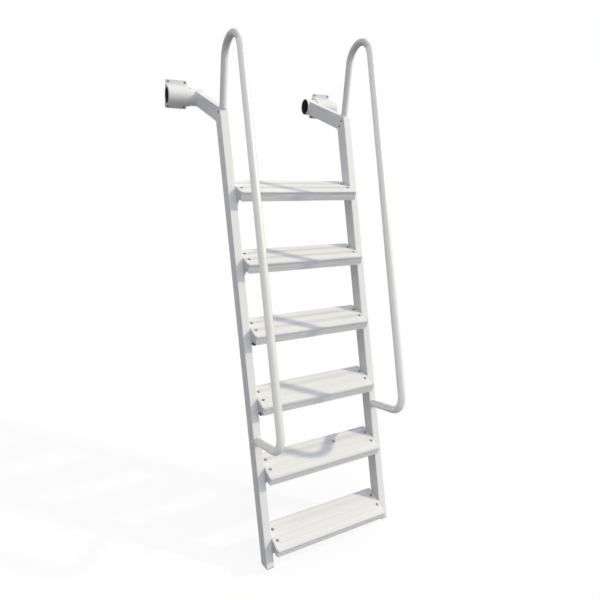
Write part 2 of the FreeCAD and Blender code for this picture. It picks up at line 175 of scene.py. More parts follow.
class NodeSheet(Nodes):
    """Nodes of one material with a Principled shader."""

    def __init__(self, name: str) -> None:
        """Start the material.

        Args:
            name: Name of the material.
        """
        self.material = bpy.data.materials.new(name)
        super().__init__(self.material)
        self.shader = self.tree.nodes["Principled BSDF"]

    def set(self, name: str, value: "Socket | float") -> None:
        """Set or feed one of the shader's inputs.

        Args:
            name: Name of the input.
            value: A number, or the socket that feeds it.
        """
        if isinstance(value, float):
            self.shader.inputs[name].default_value = value
        else:
            self.link(value, self.shader.inputs[name])

    def place(self, scale: Triple = (1.0, 1.0, 1.0),
              turn: Triple = (0.0, 0.0, 0.0)) -> Socket:
        """Object coordinates, turned and stretched.

        Args:
            scale: Stretch along each axis.
            turn: Turn in radians.

        Returns:
            The vector to feed a texture with.
        """
        coords = self.add("TexCoord")
        mapping = self.add("Mapping", Rotation=turn, Scale=scale)
        self.link(coords.outputs["Object"], mapping.inputs["Vector"])
        return mapping.outputs["Vector"]

    def noise(self, vector: Socket, scale: float, detail: float = 3.0,
              rough: float = 0.5) -> Socket:
        """Noise texture's value at a vector.

        Args:
            vector: Where to read the noise.
            scale: Waves per metre, about.
            detail: Octaves.
            rough: Share of the fine octaves.

        Returns:
            The noise's value.
        """
        node = self.add("TexNoise", Scale=scale, Detail=detail, Roughness=rough)
        self.link(vector, node.inputs["Vector"])
        return node.outputs["Fac"]

    def span(self, value: Socket, low: float, high: float,
             start: float = 0.3, stop: float = 0.7) -> Socket:
        """Spread a value from one range over another.

        Args:
            value: The value to spread.
            low: Result at start.
            high: Result at stop.
            start: Lower end of what comes in.
            stop: Upper end of what comes in.

        Returns:
            The spread value, held between low and high.
        """
        node = self.add("MapRange", From_Min=start, From_Max=stop, To_Min=low, To_Max=high)
        self.link(value, node.inputs["Value"])
        return node.outputs["Result"]

    def tint(self, value: Socket, colour: Colour, share: float) -> Socket:
        """Colour that falls to a share of itself where a noise is low.

        Args:
            value: The noise's value.
            colour: The full colour.
            share: Share of it that is left at the lowest.

        Returns:
            The clouded colour.
        """
        dark = [part * share for part in colour]
        node = self.add("MixRGB", Color1=(*dark, 1.0), Color2=(*colour, 1.0))
        self.link(self.span(value, 0.0, 1.0), node.inputs["Fac"])
        return node.outputs["Color"]

    def roughen(self, value: Socket, middle: float, spread: Span) -> None:
        """Let the roughness follow a noise, by a spread about its middle."""
        self.set("Roughness", self.span(value, middle + spread[0], middle + spread[1]))

    def fade(self, colour: Socket, share: Socket) -> Socket:
        """Darken a colour to a share of itself.

        Args:
            colour: Socket of the colour.
            share: Socket of the share.

        Returns:
            The darkened colour.
        """
        node = self.add("VectorMath", operation="SCALE")
        self.link(colour, node.inputs[0])
        self.link(share, node.inputs["Scale"])
        return node.outputs["Vector"]

    def part(self, vector: Socket, axis: str) -> Socket:
        """Take one part of a vector.

        Args:
            vector: The vector.
            axis: Name of the axis.

        Returns:
            The vector's part along that axis.
        """
        apart = self.add("SeparateXYZ")
        self.link(vector, apart.inputs["Vector"])
        return apart.outputs[axis]

    def normal(self, axis: str) -> Socket:
        """Part of the surface's own normal along an axis."""
        return self.part(self.add("TexCoord").outputs["Normal"], axis)

    def paint_height_shade(self, colour: Socket, front: float, side: float) -> Socket:
        """Paint shade and light on a colour: darker towards the ladder's foot and lighter towards
        its elbows.

        Args:
            colour: Socket of the colour.
            front: Painted change at both ends on faces that look forward.
            side: Painted change at both ends on faces that look sideways.

        Returns:
            The colour with its painted shade and light.
        """
        # Painted shade and light: the colour is scaled by height, most on faces that look
        # sideways.
        height = self.span(self.part(self.place(), "Z"), -1.0, 1.0, CAD_BOX[0].z, 0.0)
        sideways = self.math("ABSOLUTE", self.normal("X"))
        amount = self.span(sideways, front, side, 0.0, 1.0)
        return self.fade(colour, self.math("ADD", self.times(height, amount), 1.0))

    def darken(self, share: Socket) -> None:
        """Darken the base colour that is laid so far to a share of itself."""
        laid = self.shader.inputs["Base Color"].links[0].from_socket
        self.set("Base Color", self.fade(laid, share))

    def bump(self, height: Socket, depth: float) -> None:
        """Raise the surface by a height, on top of any bump already there.

        Args:
            height: Height from 0 to 1.
            depth: Metres that a height of 1 stands for.
        """
        node = self.add("Bump", Strength=1.0, Distance=depth)
        self.link(height, node.inputs["Height"])
        normal = self.shader.inputs["Normal"]
        if normal.is_linked:
            self.link(normal.links[0].from_socket, node.inputs["Normal"])
        self.link(node.outputs["Normal"], normal)


@dataclass(frozen=True)
class CoatedMetal:
    """White coat on aluminium, with its fine skin, faint handling marks and painted shade by
    height.
    """

    name: str
    colour: Colour = (0.80, 0.80, 0.78)
    roughness: float = 0.42
    skin: float = 0.00006
    cloud: float = 0.035
    height_shade_front: float = 0.0
    height_shade_side: float = 0.0
    broad_scale: float = 5.0
    broad_share: float = 0.6
    drawn_grain: Triple = (60.0, 60.0, 4.0)
    smear_scale: float = 38.0
    smear: Span = (-0.07, 0.09)
    skin_scale: float = 700.0
    shine: float = 0.42

    def lay(self) -> NodeSheet:
        """Lay out the coat's nodes.

        Returns:
            The sheet, so that a pattern can be added.
        """
        sheet = NodeSheet(self.name)
        broad = sheet.noise(sheet.place(), self.broad_scale, 4.0)
        drawn = sheet.noise(sheet.place(self.drawn_grain), 1.0, 5.0, 0.6)
        both = sheet.total([sheet.times(broad, self.broad_share),
                            sheet.times(drawn, 1.0 - self.broad_share)])
        colour = sheet.tint(both, self.colour, 1.0 - self.cloud)
        # Painted shade and light by height on the base colour.
        sheet.set("Base Color", sheet.paint_height_shade(colour, self.height_shade_front, self.height_shade_side))
        smear = sheet.noise(sheet.place(), self.smear_scale, 5.0, 0.62)
        sheet.roughen(smear, self.roughness, self.smear)
        sheet.set("Specular IOR Level", self.shine)
        sheet.bump(sheet.noise(sheet.place(), self.skin_scale, 2.0), self.skin)
        return sheet

    def make(self) -> Material:
        """Make the material."""
        return self.lay().material


@dataclass(frozen=True)
class TreadLook:
    """How much one tread's coat darkens: painted shade on its ribbed fields and grooves, bands
    near its edges, its lip and streaks.
    """

    number: int
    near: float
    far: float
    edge: float
    back: float
    lip: float
    streak: float
    groove: float = 0.0


# near and far are painted shade over the ribbed fields, groove is painted shade in the thin
# grooves, edge and back darken the top near its front and back edges.
TREAD_LOOKS = (
    TreadLook(1, 0.18, 0.17, edge=0.06, back=0.00, lip=0.03, streak=0.19),
    TreadLook(2, 0.15, 0.15, edge=0.26, back=0.00, lip=0.00, streak=0.17),
    TreadLook(3, 0.12, 0.13, edge=0.15, back=0.00, lip=0.00, streak=0.13),
    TreadLook(4, 0.02, 0.08, edge=0.28, back=0.10, lip=0.00, streak=0.02, groove=0.08),
    TreadLook(5, 0.00, 0.10, edge=0.15, back=0.10, lip=0.03, streak=0.05, groove=0.11),
    TreadLook(6, 0.00, 0.03, edge=0.06, back=0.14, lip=0.00, streak=0.04, groove=0.13),
)


@dataclass(frozen=True)
class RibbedCoat:
    """White coat on a drawn tread, with ribs and grooves between smooth bands, and painted shade
    on the ribbed fields and in the grooves.
    """

    coat: CoatedMetal
    look: TreadLook
    front: float
    top: float
    near_field: Span = (0.0450, 0.0660)
    far_field: Span = (0.0970, 0.1190)
    soft: float = 0.005
    pitch: float = 0.0032
    depth: float = 0.0003
    grooves: tuple[float, ...] = (0.0110, 0.0365, 0.0675, 0.1165)
    groove_half: float = 0.0016
    groove_core: float = 0.4
    edge_span: Span = (0.0040, 0.0100)
    back_span: Span = (0.1350, 0.1420)
    nose_shade_drop: float = 0.0055
    nose_shade_dark: float = 0.03
    lip_grain: Triple = (8.0, 1.0, 190.0)
    lip_contrast: Span = (0.38, 0.62)
    turned: float = 0.7

    def _field(self, sheet: NodeSheet, behind: Socket, ends: Span) -> Socket:
        """One inside a field and nought outside it, with soft edges.

        Args:
            sheet: Sheet to lay the nodes on.
            behind: Distance behind the tread's front edge.
            ends: Where the field starts and stops.

        Returns:
            The field's strength.
        """
        rise = sheet.span(behind, 0.0, 1.0, ends[0] - self.soft, ends[0] + self.soft)
        fall = sheet.span(behind, 1.0, 0.0, ends[1] - self.soft, ends[1] + self.soft)
        return sheet.times(rise, fall)

    def _line(self, sheet: NodeSheet, place: Socket, middle: float) -> Socket:
        """One along a thin groove and nought beside it.

        Args:
            sheet: Sheet to lay the nodes on.
            place: Place along an axis.
            middle: The groove's place along it.

        Returns:
            The groove's strength.
        """
        off = sheet.math("ABSOLUTE", sheet.math("SUBTRACT", place, middle))
        return sheet.span(off, 1.0, 0.0, self.groove_half * self.groove_core, self.groove_half)

    def _tread_top(self, sheet: NodeSheet, behind: Socket, upward: Socket) -> Socket:
        """Lay ribs, painted shade on the ribbed fields and in the grooves, and bands near the
        edges of the tread's top.

        Args:
            sheet: Sheet to lay the nodes on.
            behind: Distance behind the tread's front edge.
            upward: One on faces that look up.

        Returns:
            How much darker the top is at a point.
        """
        near = sheet.times(self._field(sheet, behind, self.near_field), upward)
        far = sheet.times(self._field(sheet, behind, self.far_field), upward)
        wave = sheet.math("SINE", sheet.times(behind, math.tau / self.pitch))
        ribs = sheet.times(sheet.span(wave, 0.0, 1.0, -1.0, 1.0), sheet.total([near, far]))
        sheet.bump(ribs, self.depth)
        lines = sheet.total([self._line(sheet, behind, line) for line in self.grooves])
        edge = sheet.span(behind, self.look.edge, 0.0, *self.edge_span)
        back = sheet.span(behind, 0.0, self.look.back, *self.back_span)
        # Painted shade in the grooves, with bands that darken the top near its front and back
        # edges.
        marks = sheet.total([sheet.times(lines, self.look.groove), edge, back])
        # Painted shade over the two ribbed fields.
        return sheet.total([sheet.times(near, self.look.near),
                            sheet.times(far, self.look.far), sheet.times(marks, upward)])

    def _lip(self, sheet: NodeSheet, height: Socket, forward: Socket) -> Socket:
        """Lay the drawn streaks of the front lip, a painted shade line under its nose and its own
        darkening.

        Args:
            sheet: Sheet to lay the nodes on.
            height: Height in the frame.
            forward: One on faces that look forward.

        Returns:
            How much darker the lip is at a point.
        """
        drawn = sheet.noise(sheet.place(self.lip_grain), 1.0, 3.0, 0.55)
        streaks = sheet.span(drawn, 0.0, self.look.streak, *self.lip_contrast)
        # Painted shade: a thin dark line just under the nose.
        groove = self._line(sheet, height, self.top - self.nose_shade_drop)
        marks = sheet.total([streaks, sheet.times(groove, self.nose_shade_dark)])
        return sheet.times(sheet.math("ADD", marks, self.look.lip), forward)

    def make(self) -> Material:
        """Make the material.

        Returns:
            The coat with the tread's lines on its top and front.
        """
        sheet = self.coat.lay()
        upward = sheet.math("GREATER_THAN", sheet.normal("Z"), self.turned)
        forward = sheet.math("LESS_THAN", sheet.normal("Y"), -self.turned)
        behind = sheet.math("SUBTRACT", sheet.part(sheet.place(), "Y"), self.front)
        tone = sheet.total([self._tread_top(sheet, behind, upward),
                            self._lip(sheet, sheet.part(sheet.place(), "Z"), forward)])
        sheet.darken(sheet.span(tone, 1.0, 0.0, 0.0, 1.0))
        return sheet.material


@dataclass(frozen=True)
class RailCoat:
    """Coat of one handrail: glossier on the long leg than on the crook, with painted shade on
    faces that look down.
    """

    coat: CoatedMetal
    lean: float
    joint: float
    hub: float
    gloss: float = 0.50
    gloss_span: Span = (-0.7, 0.1)
    dull: float = 0.93
    under_shade: float = 0.74
    under_shade_span: Span = (-0.9, 0.0)
    edge: float = 0.0008
    foot_below: float = 1.0

    def _leg(self, sheet: NodeSheet) -> Socket:
        """Find the long leg and the foot, which end at the joint.

        Args:
            sheet: Sheet to lay the nodes on.

        Returns:
            One on the leg and nought on the crook.
        """
        spot = sheet.place(turn=(self.lean, 0.0, 0.0))
        along, deep = sheet.part(spot, "Z"), sheet.part(spot, "Y")
        below = sheet.span(along, 1.0, 0.0, self.joint - self.edge, self.joint + self.edge)
        front = sheet.math("LESS_THAN", deep, self.hub)
        foot = sheet.math("LESS_THAN", along, self.joint - self.foot_below)
        return sheet.times(below, sheet.math("MAXIMUM", front, foot))

    def make(self) -> Material:
        """Make the material.

        Returns:
            The coat with its two levels of gloss and painted shade under the tube.
        """
        sheet = self.coat.lay()
        leg = self._leg(sheet)
        upward = sheet.normal("Z")
        gloss = sheet.span(upward, 0.0, self.gloss, *self.gloss_span)
        sheet.set("Metallic", sheet.times(leg, gloss))
        # Painted shade: the colour darkens on faces that look down, where the leg's gloss also
        # fades; the leg's own coat is a little darker.
        sheet.darken(sheet.times(sheet.span(leg, 1.0, self.dull, 0.0, 1.0),
                                 sheet.span(upward, self.under_shade, 1.0, *self.under_shade_span)))
        return sheet.material


@dataclass(frozen=True)
class BareMetal:
    """Bare metal with fine drawn lines, small changes of gloss and painted shade by height."""

    name: str
    colour: Colour
    roughness: float
    grain: Triple = (30.0, 900.0, 900.0)
    metallic: float = 1.0
    height_shade_side: float = 0.0
    line_share: float = 0.86
    spread: Span = (-0.06, 0.1)
    line_depth: float = 0.00003

    def make(self) -> Material:
        """Make the material.

        Returns:
            The metal with its drawn lines.
        """
        sheet = NodeSheet(self.name)
        lines = sheet.noise(sheet.place(self.grain), 1.0, 4.0, 0.6)
        colour = sheet.tint(lines, self.colour, self.line_share)
        sheet.set("Metallic", self.metallic)
        # Painted shade by height, on faces that look sideways.
        sheet.set("Base Color", sheet.paint_height_shade(colour, 0.0, self.height_shade_side))
        sheet.roughen(lines, self.roughness, self.spread)
        sheet.bump(lines, self.line_depth)
        return sheet.material


@dataclass(frozen=True)
class MouldedPlastic:
    """Moulded plastic or rubber with a fine matt texture."""

    name: str
    colour: Colour
    roughness: float = 0.5
    fine_scale: float = 900.0
    broad_scale: float = 40.0
    cloud_share: float = 0.85
    spread: Span = (-0.05, 0.1)
    grain_depth: float = 0.00005

    def make(self) -> Material:
        """Make the material.

        Returns:
            The plastic with its fine grain.
        """
        sheet = NodeSheet(self.name)
        fine = sheet.noise(sheet.place(), self.fine_scale, 3.0, 0.6)
        broad = sheet.noise(sheet.place(), self.broad_scale, 3.0)
        sheet.set("Base Color", sheet.tint(broad, self.colour, self.cloud_share))
        sheet.roughen(fine, self.roughness, self.spread)
        sheet.bump(fine, self.grain_depth)
        return sheet.material


def made(look: CoatedMetal | BareMetal | MouldedPlastic) -> Material:
    """Field of a material that is made with the finishes."""
    return field(default_factory=look.make)


@dataclass
class Finishes:
    """Every finish that the ladder's pieces share."""

    # The stile coat and the plate metal get painted shade by height: darker at the foot, lighter
    # at the elbows.
    stile: Material = made(CoatedMetal("stile_coat", height_shade_front=0.03, height_shade_side=0.12))
    bracket: Material = made(CoatedMetal("bracket_coat", (0.77, 0.77, 0.755), 0.46))
    tube: Material = made(CoatedMetal("tube_coat", (0.78, 0.78, 0.765), 0.4))
    plate: Material = made(BareMetal("plate_metal", (0.70, 0.71, 0.73), 0.5,
                                     metallic=0.2, height_shade_side=0.11))
    steel: Material = made(BareMetal("screw_steel", (0.62, 0.62, 0.60), 0.24,
                                     (400.0, 400.0, 400.0)))
    # Grey plastic of the foot caps, made darker as painted shade on the foot.
    cap: Material = made(MouldedPlastic("cap_grey_and_shade", (0.42, 0.42, 0.42)))
    # Near black for the screws' washers and socket floors, which is painted shade, and for the
    # dark rings in the plate's holes.
    washer: Material = made(MouldedPlastic("washer_and_socket_shade", (0.045, 0.045, 0.048)))
    # Black for the tube liners: painted shade inside the bores.
    bore_shade: Material = made(MouldedPlastic("bore_shade_black", (0.05, 0.05, 0.05), 0.45))
    black: Material = made(MouldedPlastic("black_nylon", (0.012, 0.012, 0.013), 0.45))

    def dress(self, node: str, material: Material) -> None:
        """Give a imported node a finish.

        Args:
            node: Name of the node.
            material: The finish.
        """
        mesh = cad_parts[node].data
        for index in range(len(mesh.materials)):
            mesh.materials[index] = material


# Mesh work


class Build:
    """One mesh that is put together from turned, pressed and stamped forms."""

    weld_gap: float = 1e-7

    def __init__(self) -> None:
        """Start with an empty mesh."""
        self.mesh = bmesh.new()

    def _fresh(self, before: set[bmesh.types.BMFace]
               ) -> tuple[list[bmesh.types.BMFace], list[bmesh.types.BMVert]]:
        """Find the faces that were made since, and their corners."""
        faces = [face for face in self.mesh.faces if face not in before]
        return faces, list({vert for face in faces for vert in face.verts})

    def _settle(self, before: set[bmesh.types.BMFace], place: Matrix, finish: int = 0,
                turn_out: bool = False) -> None:
        """Give a finished form its finish and move it to its place.

        Args:
            before: The faces that were there before the form.
            place: Where the form goes.
            finish: Index of the finish.
            turn_out: Whether its normals are to be recalculated outward.
        """
        faces, verts = self._fresh(before)
        for face in faces:
            face.material_index = finish
        if turn_out:
            bmesh.ops.recalc_face_normals(self.mesh, faces=faces)
        bmesh.ops.transform(self.mesh, matrix=place, verts=verts)

    def lathe(self, profile: Profile, place: Matrix, turns: int, finish: int = 0) -> None:
        """Turn a profile of radius and height round the place's Z.

        Args:
            profile: Points from the axis or the inner edge outwards.
            place: Where the turned form goes.
            turns: Steps round the axis.
            finish: Index of the finish.
        """
        before = set(self.mesh.faces)
        points = [self.mesh.verts.new((radius, 0.0, height)) for radius, height in profile]
        edges = [self.mesh.edges.new(pair) for pair in zip(points, points[1:])]
        bmesh.ops.spin(self.mesh, geom=[*points, *edges], cent=(0.0, 0.0, 0.0),
                       axis=(0.0, 0.0, 1.0), dvec=(0.0, 0.0, 0.0), angle=math.tau,
                       steps=turns, use_merge=True)
        bmesh.ops.remove_doubles(self.mesh, verts=self._fresh(before)[1], dist=self.weld_gap)
        self._settle(before, place, finish, turn_out=True)

    def prism(self, sides: int, radius: float, height: float, place: Matrix,
              chamfer: float) -> None:
        """Prism with a round of sides, its top edges chamfered.

        Args:
            sides: Number of sides.
            radius: Radius to the corners.
            height: Height along the place's Z.
            place: Where its foot goes.
            chamfer: Width of the chamfer round the top.
        """
        before = set(self.mesh.faces)
        ring = bmesh.ops.create_circle(self.mesh, cap_ends=True, radius=radius, segments=sides)
        foot = next(iter(ring["verts"][0].link_faces))
        raised = bmesh.ops.extrude_face_region(self.mesh, geom=[foot], use_keep_orig=True)
        top = [item for item in raised["geom"] if isinstance(item, bmesh.types.BMVert)]
        bmesh.ops.translate(self.mesh, verts=top, vec=(0.0, 0.0, height))
        rim = {edge for vert in top for edge in vert.link_edges
               if all(end in top for end in edge.verts)}
        bmesh.ops.bevel(self.mesh, geom=list(rim), offset=chamfer, segments=2,
                        profile=0.5, affect="EDGES", material=-1)
        self._settle(before, place, turn_out=True)

    def block(self, size: Vector, place: Matrix, rounding: float) -> None:
        """Rounded block about the place's origin.

        Args:
            size: Lengths along the place's axes.
            place: Where its middle goes.
            rounding: Radius of its edges.
        """
        before = set(self.mesh.faces)
        cube = bmesh.ops.create_cube(self.mesh, size=1.0)
        bmesh.ops.scale(self.mesh, vec=size, verts=cube["verts"])
        edges = {edge for vert in cube["verts"] for edge in vert.link_edges}
        bmesh.ops.bevel(self.mesh, geom=list(edges), offset=rounding, segments=3,
                        profile=0.5, affect="EDGES", material=-1)
        self._settle(before, place)

    def drop(self, size: Vector, place: Matrix) -> None:
        """Flattened ball of metal, as a weld's ripple.

        Args:
            size: Half lengths along the place's axes.
            place: Where its middle goes.
        """
        before = set(self.mesh.faces)
        ball = bmesh.ops.create_icosphere(self.mesh, subdivisions=2, radius=1.0)
        bmesh.ops.scale(self.mesh, vec=size, verts=ball["verts"])
        self._settle(before, place)

    def finish(self, name: str, body: str, slot: Slot,
               finishes: list[Material], crease: float = 34.0) -> bpy.types.Object:
        """Close the mesh and put it on a body.

        Args:
            name: Name of the piece.
            body: Body that it rides on.
            slot: Record's slot that its finish belongs to; not used.
            finishes: Materials in the order of their indices.
            crease: Angle in degrees above which an edge stays sharp.

        Returns:
            The piece.
        """
        for face in self.mesh.faces:
            face.smooth = True
        for edge in self.mesh.edges:
            if edge.is_manifold and edge.calc_face_angle(0.0) > math.radians(crease):
                edge.smooth = False
        data = bpy.data.meshes.new(name)
        self.mesh.to_mesh(data)
        self.mesh.free()
        for material in finishes:
            data.materials.append(material)
        piece = bpy.data.objects.new(name, data)
        bpy.context.scene.collection.objects.link(piece)
        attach(piece, body)
        LOG.info("%s: %d faces on %s", name, len(data.polygons), body)
        return piece


def facing(point: Vector, normal: Vector) -> Matrix:
    """Place at a point with its Z along a normal."""
    turn = normal.normalized().to_track_quat("Z", "Y").to_matrix().to_4x4()
    return Matrix.Translation(point) @ turn


# Fasteners


@dataclass(frozen=True)
class SocketScrew:
    """Round-headed screw with a socket, on a dished washer; the near-black washer and socket floor
    are painted shade of a countersink and a socket.
    """

    head: float = 0.0044
    rise: float = 0.0026
    socket: float = 0.0020
    washer: float = 0.0063
    washer_rise: float = 0.0022

    def set_in(self, build: Build, place: Matrix) -> None:
        """Add the screw: finish 0 is its steel and 1 the painted shade of its dark washer and
        socket.

        Args:
            build: Mesh that takes the screw.
            place: Its seat, with Z along the screw's axis.
        """
        base = self.washer_rise
        build.lathe([(self.head * 0.9, 0.0), (self.head * 1.02, base * 0.9),
                     (self.washer * 0.72, base * 1.05), (self.washer * 0.93, base * 0.72),
                     (self.washer, base * 0.25), (self.washer, 0.0)], place, 22, 1)
        low = base * 0.55
        build.lathe([(self.socket, low + self.rise * 0.3), (self.socket, low + self.rise),
                     (self.head * 0.66, low + self.rise * 0.94),
                     (self.head * 0.9, low + self.rise * 0.62),
                     (self.head, low + self.rise * 0.25), (self.head, low * 0.4)],
                    place, 20, 0)
        # The socket's dark floor is painted shade.
        build.lathe([(0.0, low + self.rise * 0.3), (self.socket, low + self.rise * 0.3)],
                    place, 20, 1)


@dataclass(frozen=True)
class DomedRivet:
    """Low domed head with a small dimple at its middle."""

    head: float = 0.0038
    rise: float = 0.0016
    dimple: float = 0.0011
    sunk: float = 0.0004

    def set_in(self, build: Build, place: Matrix, finish: int = 0, dark: int = 1) -> None:
        """Add the rivet.

        Args:
            build: Mesh that takes the rivet.
            place: Its seat, with Z along the rivet's axis.
            finish: Index of the head's finish.
            dark: Index of the dimple's finish.
        """
        build.lathe([(0.0, self.rise * 0.5), (self.dimple, self.rise * 0.55)], place, 16, dark)
        build.lathe([(self.dimple, self.rise * 0.55), (self.dimple * 1.1, self.rise),
                     (self.head * 0.6, self.rise * 0.86), (self.head * 0.88, self.rise * 0.5),
                     (self.head, self.rise * 0.1), (self.head, -self.sunk)], place, 18, finish)


@dataclass(frozen=True)
class HexBolt:
    """Hexagon head on a flat washer."""

    head: float = 0.0075
    rise: float = 0.0053
    washer: float = 0.0086
    washer_rise: float = 0.0016
    chamfer: float = 0.0007
    sunk: float = 0.0003

    def set_in(self, build: Build, place: Matrix) -> None:
        """Add the bolt's head and washer.

        Args:
            build: Mesh that takes the bolt.
            place: Its seat, with Z along the bolt's axis.
        """
        build.lathe([(0.0, self.washer_rise), (self.washer * 0.94, self.washer_rise),
                     (self.washer, self.washer_rise * 0.6), (self.washer, -self.sunk)],
                    place, 24)
        seat = place @ Matrix.Translation(UP * self.washer_rise)
        build.prism(6, self.head, self.rise, seat, self.chamfer)


# Sub-assemblies


@dataclass
class Ladder:
    """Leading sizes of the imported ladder, read from the frame."""

    tread_front: float = 0.0663
    crook_hub: float = -0.1445
    crook_joint: dict[Hand, float] = field(
        default_factory=lambda: {Hand.LEFT: 0.4929, Hand.RIGHT: 0.5359})
    lean: float = field(init=False)
    origin: Vector = field(init=False)

    def __post_init__(self) -> None:
        """Work out the stiles' lean from two treads."""
        low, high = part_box("tread_1")
        other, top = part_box("tread_5")
        self.lean = math.atan2(low.y - other.y, high.z - top.z)
        self.origin = Vector((0.0, low.y + self.tread_front, high.z))

    @property
    def along(self) -> Vector:
        """Direction up a stile."""
        return Vector((0.0, math.sin(self.lean), math.cos(self.lean)))

    @property
    def inward(self) -> Vector:
        """Direction from a stile's front face to its back."""
        return Vector((0.0, math.cos(self.lean), -math.sin(self.lean)))

    def on_stile(self, across: float, deep: float, up: float) -> Vector:
        """Point at an X, behind the stiles' front and up along them from the first tread."""
        point = self.origin + self.inward * deep + self.along * up
        return Vector((across, point.y, point.z))

    def level(self, number: int) -> float:
        """Distance up the stiles at which a tread's top meets their front."""
        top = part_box("tread_%d" % number)[1].z
        return (top - self.origin.z) / math.cos(self.lean)


@dataclass
class TreadWork:
    """Screws, bracket bolts and black block of one tread."""

    finishes: Finishes
    number: int
    screw_in: float = 0.0165
    screw_lines: Span = (0.0515, 0.1055)
    extra_at: Span = (0.36, 0.1036)
    extra: int = 5
    missing: tuple[int, Hand, float] = (1, Hand.LEFT, 0.1055)
    bolt_at: Span = (0.062, 0.052)
    blocked: tuple[int, ...] = (3, 4)
    block_size: Triple = (0.0145, 0.018, 0.012)
    block_at: Triple = (0.00735, 0.027, -0.049)
    block_round: float = 0.0012

    @property
    def box(self) -> tuple[Vector, Vector]:
        """Lowest and highest corner of the tread."""
        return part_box("tread_%d" % self.number)

    def screws(self) -> None:
        """Set two screws through each end of the tread's top, one fewer at tread 1's left end, and
        one in between on tread 5.
        """
        low, high = self.box
        spots = [(across, behind)
                 for hand, across in ((Hand.LEFT, low.x + self.screw_in),
                                      (Hand.RIGHT, high.x - self.screw_in))
                 for behind in self.screw_lines
                 if (self.number, hand, behind) != self.missing]
        if self.number == self.extra:
            spots.append((low.x + self.extra_at[0], self.extra_at[1]))
        build = Build()
        for across, behind in spots:
            spot = Vector((across, low.y + behind, high.z))
            SocketScrew().set_in(build, facing(spot, UP))
        build.finish("tread_screws_%d" % self.number, LADDER, Slot.PLATE,
                     [self.finishes.steel, self.finishes.washer])

    def black_block(self) -> None:
        """Hang a black block on the left end plate's lower corner."""
        low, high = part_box("tread_bracket_left_%d" % self.number)
        middle = Vector((low.x, self.box[0].y, high.z)) + Vector(self.block_at)
        build = Build()
        build.block(Vector(self.block_size), Matrix.Translation(middle), self.block_round)
        build.finish("black_block_%d" % self.number, LADDER, Slot.CAP, [self.finishes.black])

    def bolts(self) -> None:
        """Set a bolt through each end plate into the stile."""
        low, high = self.box
        build = Build()
        for across, way in ((low.x, 1.0), (high.x, -1.0)):
            spot = Vector((across, low.y + self.bolt_at[0], high.z - self.bolt_at[1]))
            HexBolt().set_in(build, facing(spot, Vector((way, 0.0, 0.0))))
        build.finish("plate_bolts_%d" % self.number, LADDER, Slot.PLATE, [self.finishes.steel])

    def make(self) -> None:
        """Make every piece of the tread."""
        self.screws()
        self.bolts()
        if self.number in self.blocked:
            self.black_block()


@dataclass
class StileWork:
    """Rivets and bolts on one stile and at its elbow."""

    ladder: Ladder
    finishes: Finishes
    hand: Hand
    rivet_out: float = 0.008
    rivet_drop: float = 0.043
    bare_rivets: tuple[int, ...] = (4, 6)
    elbow_spots: tuple[Span, ...] = ((0.013, 0.020), (0.022, 0.047))
    elbow_bolt: DomedRivet = DomedRivet(0.0044, 0.0018, 0.0022)
    rail_bolt: DomedRivet = DomedRivet(0.005, 0.0024, 0.0016)
    rail_deep: float = 0.029
    foot_touch: float = 0.0015
    foot_below: float = -0.5

    def faces(self) -> tuple[float, float]:
        """Places along X of the stile's inner and outer faces."""
        low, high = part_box("stile_" + self.hand.word)
        return (high.x, low.x) if self.hand is Hand.LEFT else (low.x, high.x)

    def rivets(self) -> None:
        """Set a rivet in the stile's front face below each tread."""
        inner, _ = self.faces()
        build = Build()
        for number in TREADS:
            spot = self.ladder.on_stile(inner + self.hand.value * self.rivet_out, 0.0,
                                        self.ladder.level(number) - self.rivet_drop)
            bare = self.hand is Hand.LEFT and number in self.bare_rivets
            DomedRivet().set_in(build, facing(spot, -self.ladder.inward), int(bare), int(bare))
        build.finish("stile_rivets_" + self.hand.word, LADDER, Slot.STILE,
                     [self.finishes.stile, self.finishes.steel])

    def elbow(self) -> None:
        """Set two small bolts in the elbow's inner side and one in its outer side."""
        inner, outer = self.faces()
        low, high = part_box("arm_" + self.hand.word)
        build = Build()
        spots = [(inner, -self.hand.value, *spot) for spot in self.elbow_spots]
        spots.append((outer, self.hand.value, *self.elbow_spots[0]))
        for across, way, back, down in spots:
            spot = Vector((across, low.y + back, high.z - down))
            self.elbow_bolt.set_in(build, facing(spot, Vector((way, 0.0, 0.0))))
        build.finish("elbow_bolts_" + self.hand.word, LADDER, Slot.PLATE,
                     [self.finishes.black, self.finishes.black])

    def rail_foot(self) -> None:
        """Set the bolt that holds the handrail's foot, from the stile's outer face."""
        _, outer = self.faces()
        spot = self.ladder.on_stile(outer, self.rail_deep, self.foot_level())
        build = Build()
        self.rail_bolt.set_in(build, facing(spot, Vector((float(self.hand.value), 0.0, 0.0))))
        build.finish("rail_bolt_" + self.hand.word, LADDER, Slot.PLATE,
                     [self.finishes.steel, self.finishes.black])

    def foot_level(self) -> float:
        """Distance along the stile of the handrail's foot.

        Returns:
            The distance, which is negative below the first tread.
        """
        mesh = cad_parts["handrail_" + self.hand.word].data
        heights = [self.split(vert.co) for vert in mesh.vertices]
        ends = [up for deep, up in heights if abs(deep) < self.foot_touch and up < self.foot_below]
        return (min(ends) + max(ends)) / 2

    def split(self, point: Vector) -> tuple[float, float]:
        """Depth of a point behind the stiles' front and its distance along them."""
        offset = Vector((0.0, point.y, point.z)) - self.ladder.origin
        return offset.dot(self.ladder.inward), offset.dot(self.ladder.along)

    def make(self) -> None:
        """Make every piece of the stile."""
        self.rivets()
        self.elbow()
        self.rail_foot()


